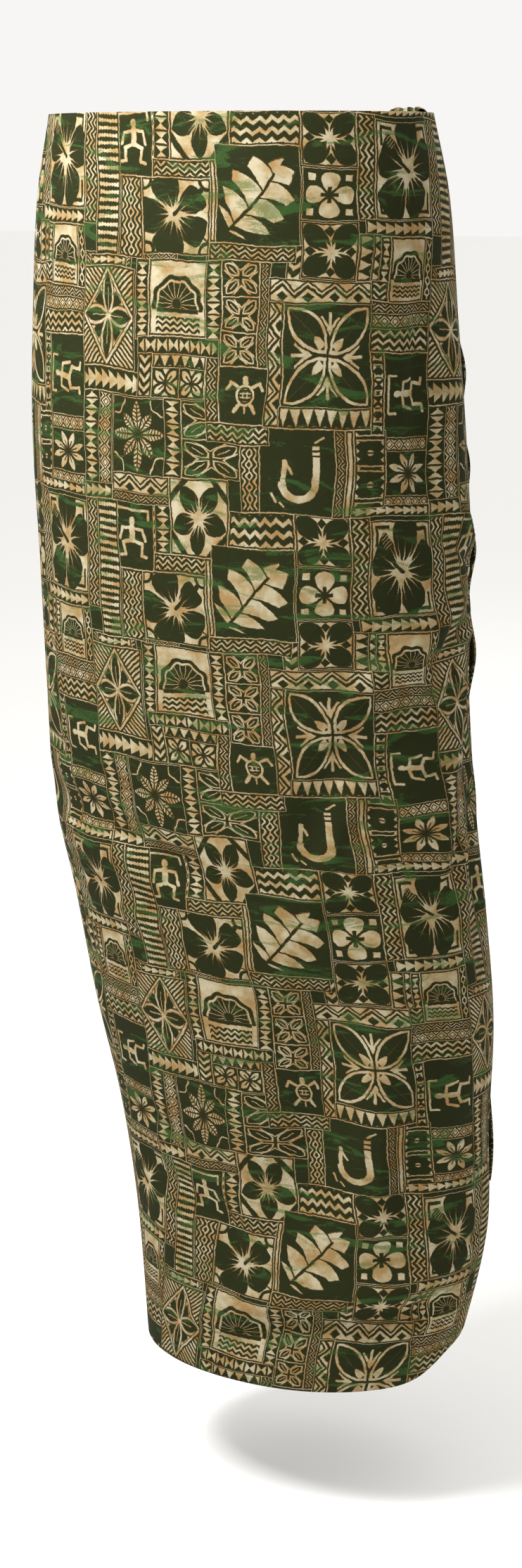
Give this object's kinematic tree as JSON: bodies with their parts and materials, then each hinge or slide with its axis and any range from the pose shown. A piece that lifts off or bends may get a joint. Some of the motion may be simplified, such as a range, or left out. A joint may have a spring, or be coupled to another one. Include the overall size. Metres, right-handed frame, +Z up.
{
  "type": "lava lava",
  "caption": "Ankle-length wrapped skirt: a printed cotton cloth wound round the hips, open at waist and hem, its free end pulled up, ruffled and tucked in at the waist.",
  "frame": {"origin": "centre of the waist ring, level with the cloth's upper edge", "axes": "+Z up out of the waist, +X towards the wearer's left, -Y towards the wearer's front"},
  "size_m": [0.3693, 0.2759, 0.9969],
  "materials": {
    "printed_cloth": "matt plain-weave cotton with a dark green, tan and brown block print",
    "edge_hem": "matt printed cotton, rolled narrow and stitched",
    "tucked_cloth": "matt printed cotton, gathered"
  },
  "bodies": {
    "root": {"under_back_stretch": "printed_cloth", "under_left_stretch": "printed_cloth", "left_stretch": "printed_cloth", "front_stretch": "printed_cloth", "right_stretch": "printed_cloth", "back_stretch": "printed_cloth", "free_end": "printed_cloth", "free_edge_hem": "edge_hem", "waist_tuck": "tucked_cloth"}
  },
  "joints": []
}
